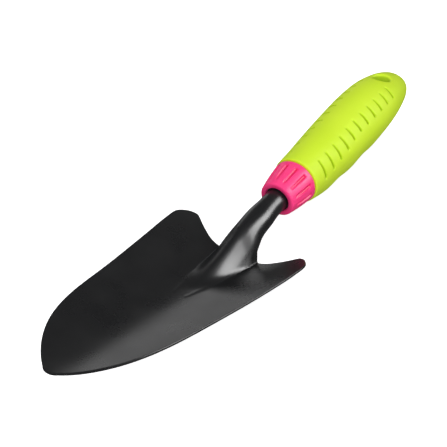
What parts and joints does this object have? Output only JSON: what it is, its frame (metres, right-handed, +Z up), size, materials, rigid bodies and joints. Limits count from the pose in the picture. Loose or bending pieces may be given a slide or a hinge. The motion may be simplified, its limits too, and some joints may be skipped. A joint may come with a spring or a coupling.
{
  "type": "hand trowel",
  "caption": "Garden hand trowel: pointed scoop pressed from one steel sheet with a rolled neck, fluted collar and an oval soft grip with slits and a hanging eye.",
  "frame": {"origin": "centre of the bounding box in plan, on the table the trowel rests on, heel of the blade and belly of the grip down", "axes": "+X from the blade's tip to the butt of the handle, +Z up out of the open scoop, Y = 0 is the plane of symmetry"},
  "size_m": [0.3212, 0.0838, 0.0429],
  "materials": {
    "blade_paint": "satin black powder coat over pressed carbon steel",
    "collar_plastic": "semi-gloss hot pink polypropylene",
    "core_plastic": "plain dark polypropylene, hidden inside the handle",
    "grip_soft": "satin lime thermoplastic elastomer with fine grain"
  },
  "bodies": {
    "root": {"blade": "blade_paint", "collar": "collar_plastic", "handle_core": "core_plastic", "grip": "grip_soft"}
  },
  "joints": []
}
